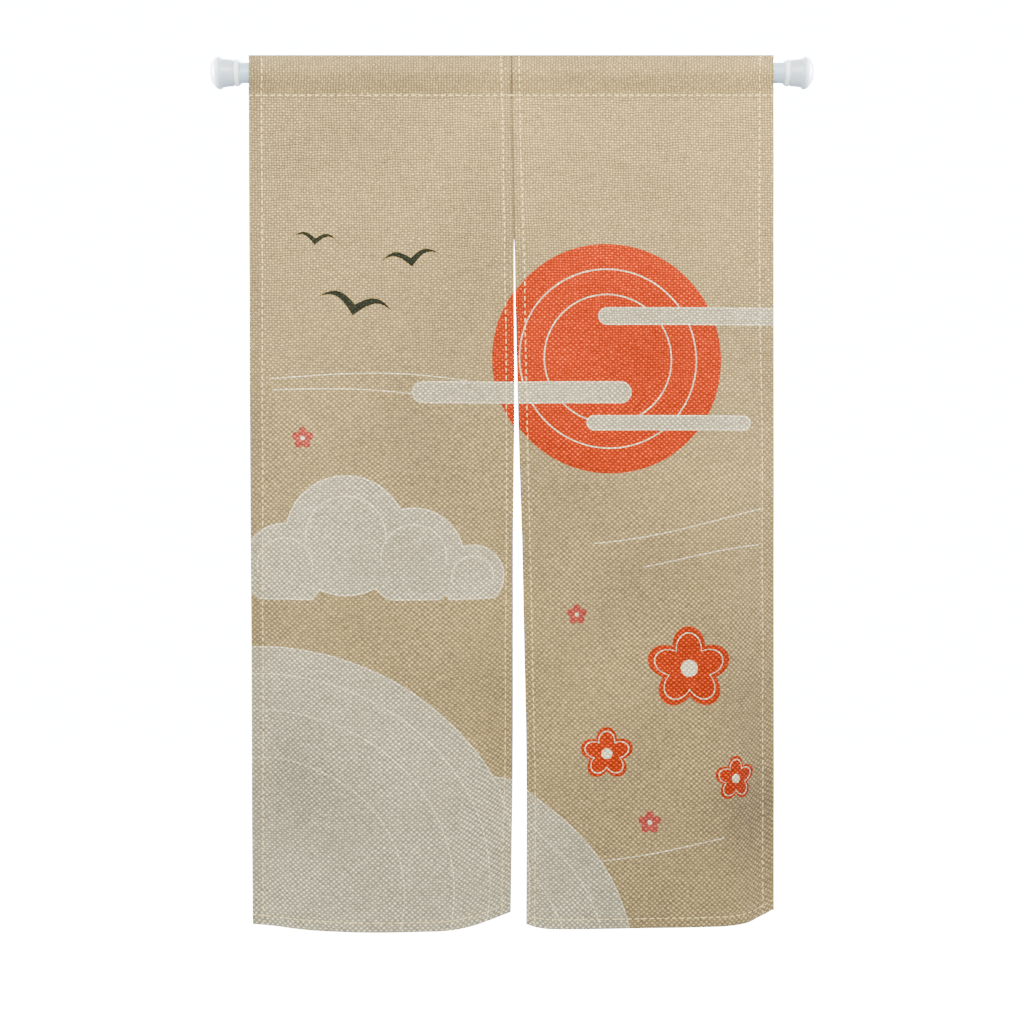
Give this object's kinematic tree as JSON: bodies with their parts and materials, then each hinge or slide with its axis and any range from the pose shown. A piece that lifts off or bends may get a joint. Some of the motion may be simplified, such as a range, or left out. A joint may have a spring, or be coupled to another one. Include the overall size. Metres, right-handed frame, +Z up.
{
  "type": "noren curtain on tension rod",
  "caption": "Split doorway curtain: hemmed printed cloth panels with a sewn rod pocket, joined at the top and parted below, hanging on a white tension rod with flared end caps.",
  "frame": {"origin": "on the rod's axis, halfway between its end caps", "axes": "+X along the rod to the right as seen from the front, +Y to the back, +Z up; the printed face looks along -Y"},
  "size_m": [0.987, 0.0743, 1.4381],
  "materials": {
    "printed_cloth": "matt plain-weave cotton and linen look, printed",
    "white_enamel": "smooth white enamel",
    "white_plastic": "satin white"
  },
  "bodies": {
    "root": {"panel_left": "printed_cloth", "panel_right": "printed_cloth", "rod_tube": "white_enamel", "rod_end_left": "white_plastic", "rod_end_right": "white_plastic"}
  },
  "joints": []
}
